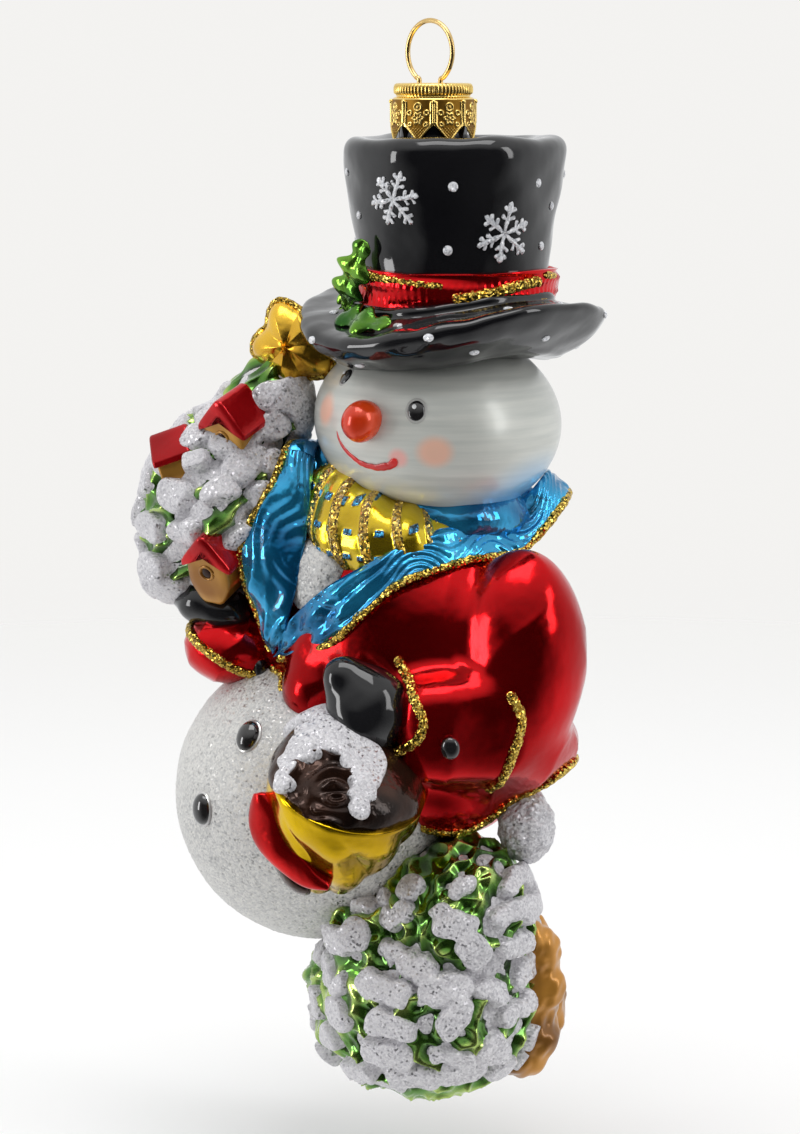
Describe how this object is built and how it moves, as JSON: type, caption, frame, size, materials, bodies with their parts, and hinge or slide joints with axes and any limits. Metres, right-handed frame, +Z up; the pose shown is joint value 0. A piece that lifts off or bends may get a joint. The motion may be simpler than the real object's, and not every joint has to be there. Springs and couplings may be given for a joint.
{
  "type": "blown glass snowman ornament",
  "caption": "Hollow blown-glass snowman with top hat, coat, bird-house tree and snowy pine, hung by a wire ring in a crimped metal crown cap.",
  "frame": {"origin": "inside top of the wire ring, where the hook bears", "axes": "+Z up; the figure faces -Y; +X is the figure's own left; the ring lies in the XZ plane"},
  "size_m": [0.0783, 0.0717, 0.1829],
  "materials": {
    "painted_glass": "silvered inside, candy lacquers, pearl white, gloss black and glitter outside",
    "gilt_cap": "stamped filigree, bright",
    "brass_wire": "drawn, polished"
  },
  "bodies": {
    "root": {"glass_figure": "painted_glass", "cap": "gilt_cap", "ring": "brass_wire"}
  },
  "joints": []
}
